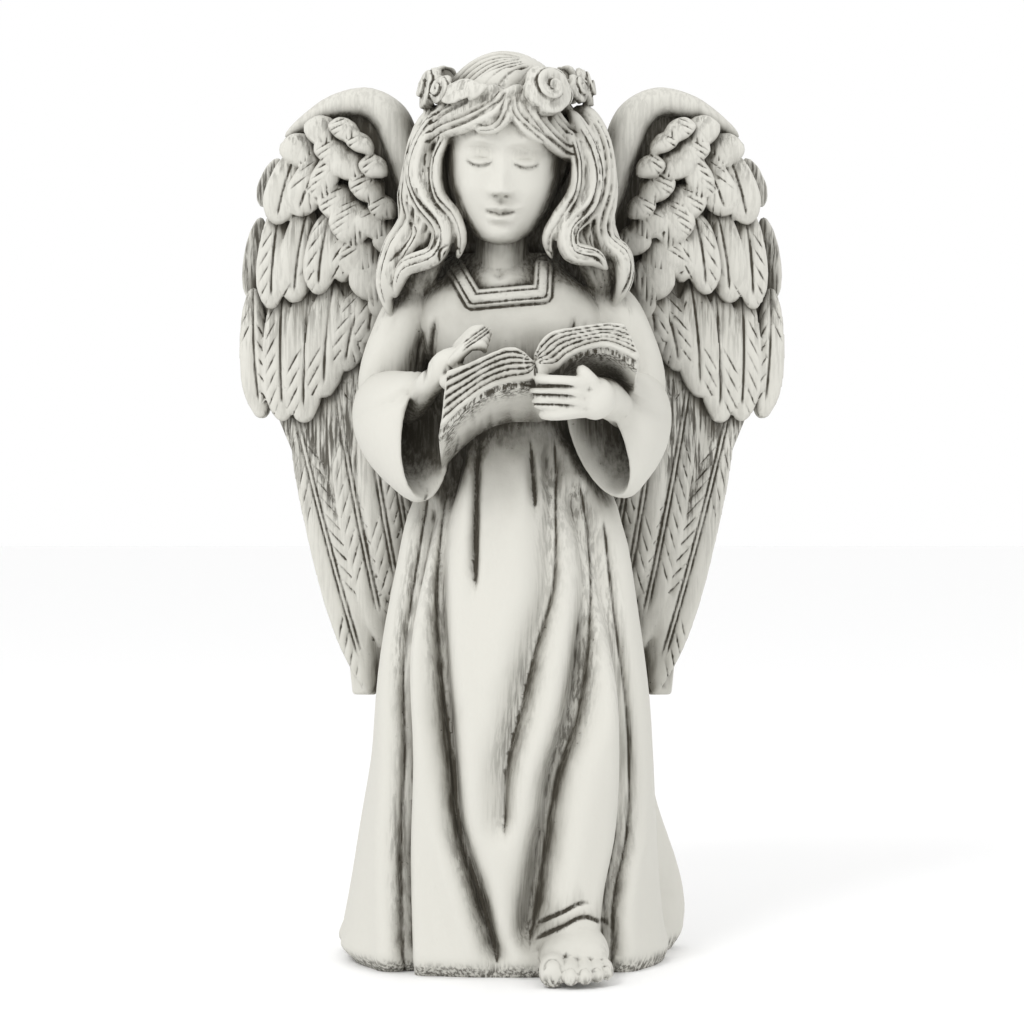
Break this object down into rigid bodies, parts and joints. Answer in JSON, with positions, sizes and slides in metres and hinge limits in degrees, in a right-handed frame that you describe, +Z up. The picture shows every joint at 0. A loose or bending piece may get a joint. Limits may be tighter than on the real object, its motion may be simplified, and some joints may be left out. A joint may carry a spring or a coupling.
{
  "type": "angel memorial statue",
  "caption": "Cast memorial statue of a winged child in a long robe, reading from an open book and wearing a wreath of roses, which stands by its own weight.",
  "frame": {"origin": "on the floor, at the centre of the flat underside between the two wings", "axes": "+Z up along the figure's height, the figure faces -Y, and +X is to the right of a viewer who faces it"},
  "size_m": [0.2729, 0.1658, 0.4422],
  "materials": {
    "cast_stone": "matte, with a dark wash in the hollows"
  },
  "bodies": {
    "root": {"angel_statue": "cast_stone"}
  },
  "joints": []
}
